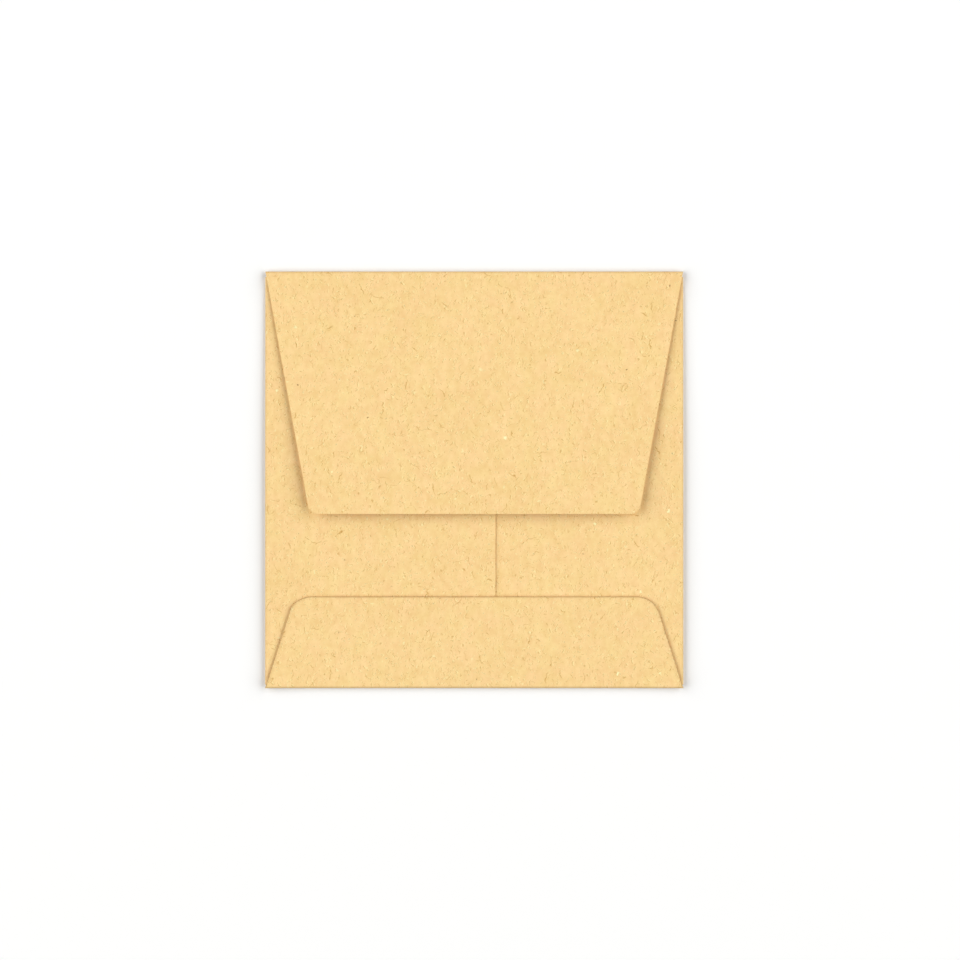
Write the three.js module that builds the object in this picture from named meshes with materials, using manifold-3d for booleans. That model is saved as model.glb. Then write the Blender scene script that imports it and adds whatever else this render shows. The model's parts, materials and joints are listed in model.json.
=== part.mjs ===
// A square envelope of recycled kraft paper, empty and unsealed, lying on its front with its back up.
// Millimetres. +X is to the right, +Y towards the top flap's crease and +Z up, away from the table.
// The origin is on the table, under the middle of the envelope.
import * as THREE from "three";
import { mergeVertices } from "three/addons/utils/BufferGeometryUtils.js";
import Module from "manifold-3d";

// Outside size, over the folds
const WIDTH = 125;
const HEIGHT = 124.6;

// Paper, glue and gum
const PAPER = 0.2;
const GLUE = 0.05;
const GUM = 0.05;
const GUM_SEAT = 0.01; // air between the gum and the flap that it is dried on to

// Height of the empty pocket between the front wall and the back wall
const POCKET_GAP = 0.8;

// Side panels: each reaches past the middle by half the overlap
const OVERLAP = 13;
const THROAT_START = 2; // from the line of the top or bottom fold to the panel, at the side fold
const THROAT_ANGLE = 9.5; // degrees that the panel's edge then falls away from the fold
const PANEL_CORNER = 3;
const STEP_RUN = 2; // length over which a sheet climbs on to the edge of another
const STEP_CLEARANCE = 0.3; // between that edge and the foot of the climb

// Glue line in the side seam
const SEAM_GLUE_WIDTH = 9;
const SEAM_GLUE_MARGIN = 5; // from its ends to the ends of the seam

// Bottom flap
const BOTTOM_FLAP_DEPTH = 27.3;
const BOTTOM_FLAP_TAPER = 17.7; // degrees that each side leans inwards
const BOTTOM_FLAP_CORNER = 7.6;
const BOTTOM_FLAP_TURN = 54.3; // degrees that the corner's arc turns, short of meeting the side smoothly
const BOTTOM_GLUE_MARGIN = 2;
const BOTTOM_GLUE_BAND = 8;

// Top flap
const FLAP_DEPTH = 72.5;
const FLAP_TAPER = 10.4; // degrees
const FLAP_CORNER = 3.6;
const FLAP_TURN = 60.6; // degrees
const FLAP_LIFT = 0.9; // degrees that the crease holds the flap open
const FLAP_CLEARANCE = 0.1; // under the flap, where it is pressed shut over the thickest stretch
const GUM_MARGIN = 3;
const GUM_BAND = 12;

// Drawing of round stretches
const FOLD_STEPS = 12;
const CORNER_STEPS = 8;

// Heights of the faces, from the table up
const PANEL_LOW = PAPER + POCKET_GAP;
const PANEL_TOP = PANEL_LOW + PAPER;
const OVER_LOW = PANEL_TOP + GLUE;
const OVER_TOP = OVER_LOW + PAPER;
const BOTTOM_FLAP_LOW = PANEL_TOP + GLUE;
const BOTTOM_FLAP_TOP = BOTTOM_FLAP_LOW + PAPER;

// Folds are half rounds, of these outside radii
const SIDE_RADIUS = PANEL_TOP / 2;
const BOTTOM_RADIUS = BOTTOM_FLAP_TOP / 2;
const CREASE_RADIUS = (OVER_TOP + FLAP_CLEARANCE + PAPER) / 2;

// Places of the folds' centre lines, where the flat stretches begin
const SIDE_X = WIDTH / 2 - SIDE_RADIUS;
const BOTTOM_Y = -HEIGHT / 2 + BOTTOM_RADIUS;
const CREASE_Y = HEIGHT / 2 - CREASE_RADIUS;

// Higher than everything, for shapes that cut others out
const CUT_HEIGHT = WIDTH + HEIGHT;

const KRAFT = 0xf6d79b;
const GLUE_COLOUR = 0xe9dcc0;
const GUM_COLOUR = 0xd9b777;

const wasm = await Module();
wasm.setup();

const radians = THREE.MathUtils.degToRad;

// A closed three.js geometry as a solid that can be cut
function solidOf(geometry) {
  geometry.deleteAttribute("normal");
  geometry.deleteAttribute("uv");
  const merged = mergeVertices(geometry);
  return new wasm.Manifold(
    new wasm.Mesh({
      numProp: 3,
      vertProperties: merged.attributes.position.array,
      triVerts: new Uint32Array(merged.index.array),
    }),
  );
}

// A solid as a named mesh
function meshOf(name, solid, color) {
  const { numProp, vertProperties, triVerts } = solid.getMesh();
  const geometry = new THREE.BufferGeometry();
  geometry.setAttribute("position", new THREE.BufferAttribute(vertProperties, numProp));
  geometry.setIndex(new THREE.BufferAttribute(triVerts, 1));
  geometry.computeVertexNormals();
  const material = new THREE.MeshStandardMaterial({ color, roughness: 0.85, metalness: 0 });
  const mesh = new THREE.Mesh(geometry, material);
  mesh.name = name;
  return mesh;
}

// A shape drawn out to a length, centred on it, with the shape's x, y and the length along three given axes
function drawnOut(shape, length, curveSegments, xAxis, yAxis, lengthAxis) {
  const geometry = new THREE.ExtrudeGeometry(shape, {
    depth: length,
    bevelEnabled: false,
    curveSegments,
  });
  geometry.translate(0, 0, -length / 2);
  geometry.applyMatrix4(new THREE.Matrix4().makeBasis(xAxis, yAxis, lengthAxis));
  return solidOf(geometry);
}

const X = new THREE.Vector3(1, 0, 0);
const Y = new THREE.Vector3(0, 1, 0);
const Z = new THREE.Vector3(0, 0, 1);

// A section seen from the bottom edge, in X and Z, drawn out along Y
const acrossSection = (shape) => drawnOut(shape, 2 * HEIGHT, FOLD_STEPS, X, Z, Y.clone().negate());

// A section seen from the right edge, in Y and Z, drawn out along X
const alongSection = (shape) => drawnOut(shape, 2 * WIDTH, FOLD_STEPS, Y, Z, X);

// An outline seen from above, drawn out along Z, to cut a section with
const fromAbove = (shape) => drawnOut(shape, CUT_HEIGHT, CORNER_STEPS, X, Y, Z);

function polygon(points) {
  return new THREE.Shape(points.map(([x, y]) => new THREE.Vector2(x, y)));
}

function rectangle(left, bottom, right, top) {
  return polygon([
    [left, bottom],
    [right, bottom],
    [right, top],
    [left, top],
  ]);
}

// A bent strip of paper: part of a ring about a centre, from one angle to another in radians
function ringPart(centreX, centreY, outerRadius, from, to) {
  const shape = new THREE.Shape();
  shape.absarc(centreX, centreY, outerRadius, from, to, false);
  shape.absarc(centreX, centreY, outerRadius - PAPER, to, from, true);
  return shape;
}

// The half width of a tapered flap at a distance from its fold's outer edge
function flapHalfWidth(distance, taper) {
  return WIDTH / 2 - distance * Math.tan(radians(taper));
}

// The outline of a tapered flap, from its fold's outer edge at edgeY. direction is -1 for a flap that points down
// the envelope and 1 for one that points up it. margin draws the outline in from the flap's own edges.
function flapOutline(edgeY, direction, depth, taper, corner, turn, margin) {
  const arc = radians(turn);
  const sideShift = margin / Math.cos(radians(taper));
  const tip = depth - margin;
  const kink = tip - corner * (1 - Math.cos(arc));
  const kinkX = flapHalfWidth(kink, taper) - sideShift;
  const flatX = kinkX - corner * Math.sin(arc);
  const y = (distance) => edgeY + direction * distance;
  const rootX = WIDTH / 2 - sideShift;
  const shape = new THREE.Shape();
  shape.moveTo(-rootX, y(0));
  shape.lineTo(-kinkX, y(kink));
  const side = (direction * Math.PI) / 2;
  const middle = y(tip - corner);
  shape.absarc(-flatX, middle, corner, side + direction * arc, side, direction > 0);
  shape.absarc(flatX, middle, corner, side, side - direction * arc, direction > 0);
  shape.lineTo(rootX, y(0));
  return shape;
}

const topFlapOutline = (margin) =>
  flapOutline(HEIGHT / 2, -1, FLAP_DEPTH, FLAP_TAPER, FLAP_CORNER, FLAP_TURN, margin);

const bottomFlapOutline = (margin) =>
  flapOutline(
    -HEIGHT / 2,
    1,
    BOTTOM_FLAP_DEPTH,
    BOTTOM_FLAP_TAPER,
    BOTTOM_FLAP_CORNER,
    BOTTOM_FLAP_TURN,
    margin,
  );

// How far a side panel's edge has fallen away from the fold's line, at a distance from the side fold
function throatFall(distance) {
  return THROAT_START + distance * Math.tan(radians(THROAT_ANGLE));
}

// The outline of the side panel on one side, -1 for left and 1 for right, with its two free corners rounded
function sidePanelOutline(side) {
  const reach = SIDE_X + OVERLAP / 2;
  const free = side * (SIDE_X - reach);
  const rounded = side * (SIDE_X - reach + PANEL_CORNER);
  const fall = throatFall(reach);
  const fallBefore = throatFall(reach - PANEL_CORNER);
  const shape = new THREE.Shape();
  shape.moveTo(side * SIDE_X, BOTTOM_Y + THROAT_START);
  shape.lineTo(rounded, BOTTOM_Y + fallBefore);
  shape.quadraticCurveTo(free, BOTTOM_Y + fall, free, BOTTOM_Y + fall + PANEL_CORNER);
  shape.lineTo(free, CREASE_Y - fall - PANEL_CORNER);
  shape.quadraticCurveTo(free, CREASE_Y - fall, rounded, CREASE_Y - fallBefore);
  shape.lineTo(side * SIDE_X, CREASE_Y - THROAT_START);
  return shape;
}

// The section of a sheet that follows a line of [x, height] points and has the given thickness
function sheetSection(line, thickness) {
  const upper = line.map(([x, z]) => [x, z + thickness]).reverse();
  return polygon([...line, ...upper]);
}

// Where the left panel and everything over it climbs, and where what lies over it comes down again
const CLIMB_END = -OVERLAP / 2 - STEP_CLEARANCE;
const CLIMB_START = CLIMB_END - STEP_RUN;
const DROP_START = OVERLAP / 2 + STEP_CLEARANCE;
const DROP_END = DROP_START + STEP_RUN;

// The line of a sheet that lies over the seam, low on both sides and high over the overlap
function humpLine(low, high) {
  return [
    [-WIDTH / 2, low],
    [CLIMB_START, low],
    [CLIMB_END, high],
    [DROP_START, high],
    [DROP_END, low],
    [WIDTH / 2, low],
  ];
}

function frontPanel() {
  return fromAbove(rectangle(-SIDE_X, BOTTOM_Y, SIDE_X, CREASE_Y)).intersect(
    acrossSection(rectangle(-WIDTH / 2, 0, WIDTH / 2, PAPER)),
  );
}

function sideFold(side) {
  const outward = side > 0 ? 0 : Math.PI;
  const bend = ringPart(
    side * SIDE_X,
    SIDE_RADIUS,
    SIDE_RADIUS,
    outward - Math.PI / 2,
    outward + Math.PI / 2,
  );
  return acrossSection(bend).intersect(fromAbove(rectangle(-WIDTH, BOTTOM_Y, WIDTH, CREASE_Y)));
}

function bottomFold() {
  const bend = ringPart(BOTTOM_Y, BOTTOM_RADIUS, BOTTOM_RADIUS, Math.PI / 2, (3 * Math.PI) / 2);
  return alongSection(bend).intersect(fromAbove(bottomFlapOutline(0)));
}

function topFold() {
  const end = Math.PI / 2 - radians(FLAP_LIFT);
  const bend = ringPart(CREASE_Y, CREASE_RADIUS, CREASE_RADIUS, -Math.PI / 2, end);
  return alongSection(bend).intersect(fromAbove(topFlapOutline(0)));
}

function leftSidePanel() {
  const line = [
    [-SIDE_X, PANEL_LOW],
    [CLIMB_START, PANEL_LOW],
    [CLIMB_END, OVER_LOW],
    [OVERLAP / 2, OVER_LOW],
  ];
  return acrossSection(sheetSection(line, PAPER)).intersect(fromAbove(sidePanelOutline(-1)));
}

function rightSidePanel() {
  const line = [
    [-OVERLAP / 2, PANEL_LOW],
    [SIDE_X, PANEL_LOW],
  ];
  return acrossSection(sheetSection(line, PAPER)).intersect(fromAbove(sidePanelOutline(1)));
}

function seamGlue() {
  const ends = throatFall(SIDE_X + OVERLAP / 2) + SEAM_GLUE_MARGIN;
  const half = SEAM_GLUE_WIDTH / 2;
  const line = [
    [-half, PANEL_TOP],
    [half, PANEL_TOP],
  ];
  return acrossSection(sheetSection(line, GLUE)).intersect(
    fromAbove(rectangle(-half, BOTTOM_Y + ends, half, CREASE_Y - ends)),
  );
}

function bottomFlap() {
  const line = humpLine(BOTTOM_FLAP_LOW, OVER_TOP + GLUE);
  return acrossSection(sheetSection(line, PAPER))
    .intersect(fromAbove(bottomFlapOutline(0)))
    .intersect(fromAbove(rectangle(-WIDTH, BOTTOM_Y, WIDTH, HEIGHT)));
}

function bottomFlapGlue() {
  const line = humpLine(PANEL_TOP, OVER_TOP);
  const bandTop = -HEIGHT / 2 + BOTTOM_FLAP_DEPTH - BOTTOM_GLUE_MARGIN;
  return acrossSection(sheetSection(line, GLUE))
    .intersect(fromAbove(bottomFlapOutline(BOTTOM_GLUE_MARGIN)))
    .intersect(fromAbove(rectangle(-WIDTH, bandTop - BOTTOM_GLUE_BAND, WIDTH, HEIGHT)));
}

// The section of a film parallel to the top flap, whose outer face lies at a radius from the crease's axis
function flapSection(outerRadius, thickness) {
  const lift = radians(FLAP_LIFT);
  const along = new THREE.Vector2(-Math.cos(lift), Math.sin(lift));
  const outward = new THREE.Vector2(Math.sin(lift), Math.cos(lift));
  const reach = HEIGHT + FLAP_DEPTH;
  const at = (radius, distance) =>
    new THREE.Vector2(CREASE_Y, CREASE_RADIUS)
      .addScaledVector(outward, radius)
      .addScaledVector(along, distance);
  return new THREE.Shape([
    at(outerRadius, 0),
    at(outerRadius, reach),
    at(outerRadius - thickness, reach),
    at(outerRadius - thickness, 0),
  ]);
}

function topFlap() {
  return alongSection(flapSection(CREASE_RADIUS, PAPER)).intersect(fromAbove(topFlapOutline(0)));
}

function sealGum() {
  const outer = CREASE_RADIUS - PAPER - GUM_SEAT;
  const bandEdge = HEIGHT / 2 - FLAP_DEPTH + GUM_MARGIN;
  return alongSection(flapSection(outer, GUM))
    .intersect(fromAbove(topFlapOutline(GUM_MARGIN)))
    .intersect(fromAbove(rectangle(-WIDTH, -HEIGHT, WIDTH, bandEdge + GUM_BAND)));
}

const envelope = new THREE.Group();
envelope.name = "square_envelope";

const frontWall = new THREE.Group();
frontWall.add(
  meshOf("front_panel", frontPanel(), KRAFT),
  meshOf("left_fold", sideFold(-1), KRAFT),
  meshOf("right_fold", sideFold(1), KRAFT),
  meshOf("bottom_fold", bottomFold(), KRAFT),
  meshOf("top_fold", topFold(), KRAFT),
);

const backWall = new THREE.Group();
backWall.add(
  meshOf("right_side_panel", rightSidePanel(), KRAFT),
  meshOf("seam_glue", seamGlue(), GLUE_COLOUR),
  meshOf("left_side_panel", leftSidePanel(), KRAFT),
  meshOf("bottom_flap_glue", bottomFlapGlue(), GLUE_COLOUR),
  meshOf("bottom_flap", bottomFlap(), KRAFT),
);

const flap = new THREE.Group();
flap.add(meshOf("top_flap", topFlap(), KRAFT), meshOf("seal_gum", sealGum(), GUM_COLOUR));

envelope.add(frontWall, backWall, flap);

export default envelope;
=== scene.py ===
"""A square envelope of speckled kraft paper, lying on its front, its top flap shut but not sealed.

Each piece is a stretch of the flat blank, cut out, folded up and over round the pocket, and then
given the thickness of the paper. Lengths are in metres.
"""

import json
from math import cos, pi, radians, sin, tan

import bmesh
import bpy
from bpy.props import FloatProperty, FloatVectorProperty, IntProperty, PointerProperty
from mathutils import Matrix, Vector, noise
from mathutils.kdtree import KDTree
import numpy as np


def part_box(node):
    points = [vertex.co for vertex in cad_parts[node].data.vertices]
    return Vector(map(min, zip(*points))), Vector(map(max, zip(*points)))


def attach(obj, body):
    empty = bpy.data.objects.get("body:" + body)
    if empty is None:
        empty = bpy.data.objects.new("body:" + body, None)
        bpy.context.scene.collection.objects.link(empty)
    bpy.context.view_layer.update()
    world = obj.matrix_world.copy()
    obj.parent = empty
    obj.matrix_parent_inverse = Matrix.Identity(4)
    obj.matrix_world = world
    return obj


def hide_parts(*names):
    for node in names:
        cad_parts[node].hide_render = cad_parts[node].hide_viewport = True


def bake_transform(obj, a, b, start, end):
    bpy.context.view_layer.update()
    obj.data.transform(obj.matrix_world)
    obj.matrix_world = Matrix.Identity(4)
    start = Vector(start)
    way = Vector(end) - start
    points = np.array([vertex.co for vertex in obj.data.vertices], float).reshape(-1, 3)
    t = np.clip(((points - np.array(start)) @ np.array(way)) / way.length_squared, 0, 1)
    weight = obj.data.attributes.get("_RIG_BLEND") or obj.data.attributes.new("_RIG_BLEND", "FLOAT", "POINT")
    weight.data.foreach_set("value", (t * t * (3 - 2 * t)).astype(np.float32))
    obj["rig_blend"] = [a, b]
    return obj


bl_info = {
    "name": "Square Kraft Envelope",
    "version": (1, 0, 0),
    "blender": (4, 5, 0),
    "location": "3D View > Sidebar > Envelope",
    "description": "Builds a square kraft paper envelope round its packed frame",
    "category": "Add Mesh",
}

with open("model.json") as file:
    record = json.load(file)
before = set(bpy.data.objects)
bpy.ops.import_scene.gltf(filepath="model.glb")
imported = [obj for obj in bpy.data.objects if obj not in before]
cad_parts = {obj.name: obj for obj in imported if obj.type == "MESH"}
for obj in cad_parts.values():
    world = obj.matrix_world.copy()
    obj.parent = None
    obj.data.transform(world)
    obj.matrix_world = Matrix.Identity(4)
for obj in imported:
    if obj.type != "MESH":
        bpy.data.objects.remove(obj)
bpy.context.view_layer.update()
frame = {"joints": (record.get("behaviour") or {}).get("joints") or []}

# Hinges of the frame
HINGES = {joint["name"]: joint for joint in frame["joints"]}
CREASE = Vector(HINGES["flap_hinge"]["pos_m"])
BOTTOM = Vector(HINGES["mouth_gape"]["pos_m"])
FLAP_LIFT = -radians(HINGES["flap_hinge"]["range_deg"][0])

# Faces and edges of the frame. A fold's axis is as high as its outer radius.
FRONT_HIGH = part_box("front_panel")[1]
LEFT_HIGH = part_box("left_side_panel")[1]
RIGHT_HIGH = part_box("right_side_panel")[1]
PAPER = FRONT_HIGH.z
SIDE_X = FRONT_HIGH.x
SIDE_RADIUS = RIGHT_HIGH.z / 2
HALF_WIDTH = SIDE_X + SIDE_RADIUS
TOP_EDGE = CREASE.y + CREASE.z
BOTTOM_EDGE = BOTTOM.y - BOTTOM.z
SEAM_X = LEFT_HIGH.x
LAP_STEP = LEFT_HIGH.z - RIGHT_HIGH.z
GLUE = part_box("seam_glue")[1].z - RIGHT_HIGH.z

LEFT = Vector((-1, 0, 0))
RIGHT = Vector((1, 0, 0))
UP_PAGE = Vector((0, 1, 0))
DOWN_PAGE = Vector((0, -1, 0))
OUT_OF_TABLE = Vector((0, 0, 1))

# Points nearer than this to a cut count as lying on it
TINY = 1e-7
MILLIMETRES = 1000

# The inner side of the paper takes its pattern from this much further up the page
INNER_PATTERN = 0.4

# How brown the paper is along its folds, partly creased paper and partly painted shade where the fold curves
# away, and on its cut edges
FOLD_BROWN_AND_SHADE = 0.3
CUT_BROWN = 0.3

# Cut edges meet at a sharp corner past this angle, and run on smoothly below it
SHARP = radians(30)

# Mesh strips across the lip of a side panel, and mesh lines in the bottom flap's brown edge strip, which is
# painted shade
LIP_STRIPS = 5
SHADED_EDGE_CUTS = 3

# How far the left panel's curled edge takes to rise from under the bottom flap
LIP_FADE = 0.004

# Seeds of the straying cut edges of the two side panels
LEFT_SEED = 3
RIGHT_SEED = 9

# How far the bottom flap reaches past its solid, and how soon after its fold it lies on the lap
BOTTOM_SPARE = 0.00008
BOTTOM_CLIMB = 0.006

# How far a flap's fold starts beyond the corner of the front wall
FOLD_SPARE = 0.0001

# The sides of the envelope bow up steeply towards their edges, and less near the crease
BOW_POWER = 8
BOW_RUN = 0.06

# Waves in the paper: how near a fold they fade, the back's mean bulge, their places in the noise
BACK_HOLD = 0.02
FLAP_HOLD = 0.03
MEAN_BULGE = 0.6
BACK_WAVE = Vector((3.1, 8.4, 0))
FLAP_WAVE = Vector((11.7, 2.3, 0))

# Lengths over which a cut edge strays, slowly and quickly
SLOW_STRAY = 0.009
QUICK_STRAY = 0.0022

# From a flap's edge to the glue, and to both sides of the gum
GLUE_MARGIN = 0.002
GUM_MARGIN = 0.003
GUM_REACH = 0.015

# Thickness of the gum film, and the hair's breadth between it and the paper
GUM = 0.00005
GUM_SEAT = 0.00001

# A cell's random value times one of these has another random value after its point
LENGTH_SHUFFLE = 57.3
SHARE_SHUFFLE = 83.1
DEPTH_SHUFFLE = 47.9

# The table top: half its side, how far it lies below the paper, and how the camera sees it
TABLE_HALF = 2.0
TABLE_DROP = 0.00002
TABLE_SEEN = (0.985, 0.985, 0.975, 1)
GRAIN_SCALE = 900.0
GRAIN_SHADE = 0.995

WHITE = (1, 1, 1, 1)
SENSOR_WIDTH = 36
NEAREST_SEEN = 0.05


class EnvelopeSizes(bpy.types.PropertyGroup):
    """Shapes of the cut and folded sheet."""

    mesh_step: FloatProperty(
        name="Mesh size",
        description="Side of a mesh face on the flat stretches",
        default=0.0012,
        precision=5,
        unit="LENGTH",
    )
    fold_steps: IntProperty(
        name="Fold steps",
        description="Flat strips that a half round fold is made of",
        default=12,
        min=4,
    )
    throat_start: FloatProperty(
        name="Throat start",
        description="From the crease of the top flap to a side panel's edge, at the side fold",
        default=0.0006,
        precision=5,
        unit="LENGTH",
    )
    bottom_throat_start: FloatProperty(
        name="Bottom throat start",
        description="From the bottom fold to a side panel's edge, at the side fold",
        default=0.0002,
        precision=5,
        unit="LENGTH",
    )
    throat_angle: FloatProperty(
        name="Throat angle",
        description="Angle at which a side panel's edge falls away from the fold",
        default=radians(9.5),
        subtype="ANGLE",
    )
    panel_corner: FloatProperty(
        name="Panel corner",
        description="Radius of a side panel's free corners",
        default=0.0035,
        precision=5,
        unit="LENGTH",
    )
    seam_inset: FloatProperty(
        name="Seam inset",
        description="How far each side panel ends short of its place in the frame",
        default=0.00017,
        precision=5,
        unit="LENGTH",
    )
    lap_run: FloatProperty(
        name="Lap run",
        description="Length over which a sheet climbs on to the edge of another",
        default=0.006,
        precision=5,
        unit="LENGTH",
    )
    lap_clearance: FloatProperty(
        name="Lap clearance",
        description="From the edge of the lower sheet to the end of the climb",
        default=0.0003,
        precision=5,
        unit="LENGTH",
    )
    flap_depth: FloatProperty(
        name="Top flap depth",
        description="From the top edge of the envelope to the flap's edge",
        default=TOP_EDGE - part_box("top_flap")[0].y,
        precision=5,
        unit="LENGTH",
    )
    flap_taper: FloatProperty(
        name="Top flap taper",
        description="Angle at which each side of the top flap leans inwards",
        default=radians(10.4),
        subtype="ANGLE",
    )
    flap_corner: FloatProperty(
        name="Top flap corner",
        description="Radius of the top flap's corners",
        default=0.0036,
        precision=5,
        unit="LENGTH",
    )
    flap_turn: FloatProperty(
        name="Top flap corner turn",
        description="Angle that a corner's arc turns before it meets the side",
        default=radians(60.6),
        subtype="ANGLE",
    )
    bottom_depth: FloatProperty(
        name="Bottom flap depth",
        description="From the bottom edge of the envelope to the flap's edge",
        default=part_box("bottom_flap")[1].y - BOTTOM_EDGE + BOTTOM_SPARE,
        precision=5,
        unit="LENGTH",
    )
    bottom_taper: FloatProperty(
        name="Bottom flap taper",
        description="Angle at which each side of the bottom flap leans inwards",
        default=radians(17.7),
        subtype="ANGLE",
    )
    bottom_corner: FloatProperty(
        name="Bottom flap left corner",
        description="Radius of the bottom flap's left corner",
        default=0.0076,
        precision=5,
        unit="LENGTH",
    )
    bottom_turn: FloatProperty(
        name="Bottom flap left corner turn",
        description="Angle that the left corner's arc turns before it meets the side",
        default=radians(54.3),
        subtype="ANGLE",
    )
    bottom_right_corner: FloatProperty(
        name="Bottom flap right corner",
        description="Radius of the bottom flap's right corner, which meets the side smoothly",
        default=0.00685,
        precision=5,
        unit="LENGTH",
    )
    corner_steps: IntProperty(
        name="Corner steps",
        description="Straight cuts that round off a corner",
        default=10,
        min=3,
    )
    wave_height: FloatProperty(
        name="Wave height",
        description="How far the paper bulges and dips out of flat",
        default=0.00006,
        precision=5,
        unit="LENGTH",
    )
    wave_length: FloatProperty(
        name="Wave length",
        description="Distance between two bulges",
        default=0.035,
        precision=5,
        unit="LENGTH",
    )
    flap_curl: FloatProperty(
        name="Top flap curl",
        description="How far the top flap's paper curls up by its edge",
        default=0.0007,
        precision=5,
        unit="LENGTH",
    )
    flap_inset: FloatProperty(
        name="Top flap inset",
        description="How far each side of the top flap is in from the corner of the envelope",
        default=0.0001,
        precision=5,
        unit="LENGTH",
    )
    side_bow: FloatProperty(
        name="Side bow",
        description="How far the sides of the envelope bow up off the table",
        default=0.00055,
        precision=5,
        unit="LENGTH",
    )
    lip_run: FloatProperty(
        name="Seam lip run",
        description="Width of the unglued lip along the seam",
        default=0.002,
        precision=5,
        unit="LENGTH",
    )
    lip_height: FloatProperty(
        name="Seam lip height",
        description="How far that lip curls up at its edge",
        default=0.00014,
        precision=5,
        unit="LENGTH",
    )
    bottom_lip_run: FloatProperty(
        name="Bottom flap lip run",
        description="Width of the curled lip along the bottom flap's edge",
        default=0.0008,
        precision=5,
        unit="LENGTH",
    )
    bottom_lip_height: FloatProperty(
        name="Bottom flap lip height",
        description="How far that lip curls up at its edge",
        default=0.0003,
        precision=5,
        unit="LENGTH",
    )
    # The browner strip along the bottom flap's edge is painted shade of the edge line
    shaded_edge_run: FloatProperty(
        name="Brown edge",
        description="Width of the browner strip along the bottom flap's edge",
        default=0.00024,
        precision=5,
        unit="LENGTH",
    )
    edge_wander: FloatProperty(
        name="Edge wander",
        description="How far a die-cut edge strays from its line",
        default=0.00004,
        precision=5,
        unit="LENGTH",
    )
    gape_reach: FloatProperty(
        name="Gape reach",
        description="Where the back wall is as high as it gets when the mouth gapes, from the middle",
        default=0.022,
        precision=5,
        unit="LENGTH",
    )


class EnvelopeColours(bpy.types.PropertyGroup):
    """Colours of paper, glue, gum and table."""

    kraft: FloatVectorProperty(
        name="Kraft",
        description="Colour of the bare paper",
        default=(0.99, 0.7, 0.342),
        subtype="COLOR",
        min=0,
        max=1,
    )
    kraft_green: FloatVectorProperty(
        name="Greenish kraft",
        description="Colour of the paper's greener patches",
        default=(0.965, 0.715, 0.324),
        subtype="COLOR",
        min=0,
        max=1,
    )
    tan: FloatVectorProperty(
        name="Tan",
        description="Colour of the paper's browner patches, where it is strongest",
        default=(0.65, 0.31, 0.05),
        subtype="COLOR",
        min=0,
        max=1,
    )
    fibre: FloatVectorProperty(
        name="Fibre",
        description="Colour of the brown fibres",
        default=(0.55, 0.27, 0.035),
        subtype="COLOR",
        min=0,
        max=1,
    )
    # Along the folds and the bottom flap's edge this colour is also painted shade
    pressed_and_shaded: FloatVectorProperty(
        name="Pressed paper",
        description="Colour of the paper along its folds and cut edges",
        default=(0.5, 0.3, 0.12),
        subtype="COLOR",
        min=0,
        max=1,
    )
    speck: FloatVectorProperty(
        name="Speck",
        description="Colour of the dark specks of bark and ink",
        default=(0.3, 0.13, 0.03),
        subtype="COLOR",
        min=0,
        max=1,
    )
    # The glint colour also paints the highlight beside the short and middle fibres
    glint: FloatVectorProperty(
        name="Glint",
        description="Colour of the small light dots between the fibres",
        default=(1.0, 0.84, 0.43),
        subtype="COLOR",
        min=0,
        max=1,
    )
    fleck: FloatVectorProperty(
        name="Fleck",
        description="Colour of the pale flecks of bleached fibre",
        default=(1.0, 0.94, 0.53),
        subtype="COLOR",
        min=0,
        max=1,
    )
    glue: FloatVectorProperty(
        name="Glue",
        description="Colour of the dried glue",
        default=(0.82, 0.72, 0.53),
        subtype="COLOR",
        min=0,
        max=1,
    )
    gum: FloatVectorProperty(
        name="Gum",
        description="Colour of the dried gum on the paper",
        default=(0.8, 0.5, 0.12),
        subtype="COLOR",
        min=0,
        max=1,
    )
    table: FloatVectorProperty(
        name="Table",
        description="Colour of the table top",
        default=(0.6, 0.6, 0.59),
        subtype="COLOR",
        min=0,
        max=1,
    )


class EnvelopeStudio(bpy.types.PropertyGroup):
    """Lamps and camera."""

    lamp_power: FloatProperty(
        name="Lamp power",
        description="Power of the two side lamps together",
        default=260.0,
        unit="POWER",
    )
    right_share: FloatProperty(
        name="Right share",
        description="Share of that power that the right lamp has",
        default=0.5,
    )
    lamp_distance: FloatProperty(
        name="Lamp distance",
        description="From the envelope to each lamp, as seen from its bottom edge",
        default=3.0,
        unit="LENGTH",
    )
    lamp_lean: FloatProperty(
        name="Lamp lean",
        description="Angle of each lamp from straight overhead",
        default=radians(54),
        subtype="ANGLE",
    )
    lamp_shift: FloatProperty(
        name="Lamp shift",
        description="How far the lamps stand towards the top of the envelope",
        default=0.5,
        unit="LENGTH",
    )
    lamp_width: FloatProperty(
        name="Lamp width",
        description="Size of each lamp from its low edge to its high edge",
        default=2.6,
        unit="LENGTH",
    )
    lamp_length: FloatProperty(
        name="Lamp length",
        description="Size of each lamp along the side of the envelope",
        default=5.8,
        unit="LENGTH",
    )
    sky: FloatProperty(
        name="Room light",
        description="Strength of the even light from the room",
        default=0.01,
    )
    lens: FloatProperty(
        name="Lens",
        description="Focal length of the camera",
        default=85,
    )
    picture_width: FloatProperty(
        name="Picture width",
        description="Width of the table that the picture shows, at the height of the envelope's back",
        default=0.287,
        precision=4,
        unit="LENGTH",
    )
    aim: FloatVectorProperty(
        name="Aim",
        description="Point of the envelope's back that the camera looks at",
        default=(0.00172, -0.00006, 0.0012),
        precision=5,
        subtype="TRANSLATION",
        unit="LENGTH",
    )


# Cutting, folding and thickening of sheets


def cut(bm, point, normal, clear=False):
    """Cuts a sheet along a line. If clear is true, it drops what lies on the normal's side."""
    bmesh.ops.bisect_plane(
        bm,
        geom=bm.verts[:] + bm.edges[:] + bm.faces[:],
        dist=TINY,
        plane_co=point,
        plane_no=normal,
        clear_outer=clear,
    )


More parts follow.
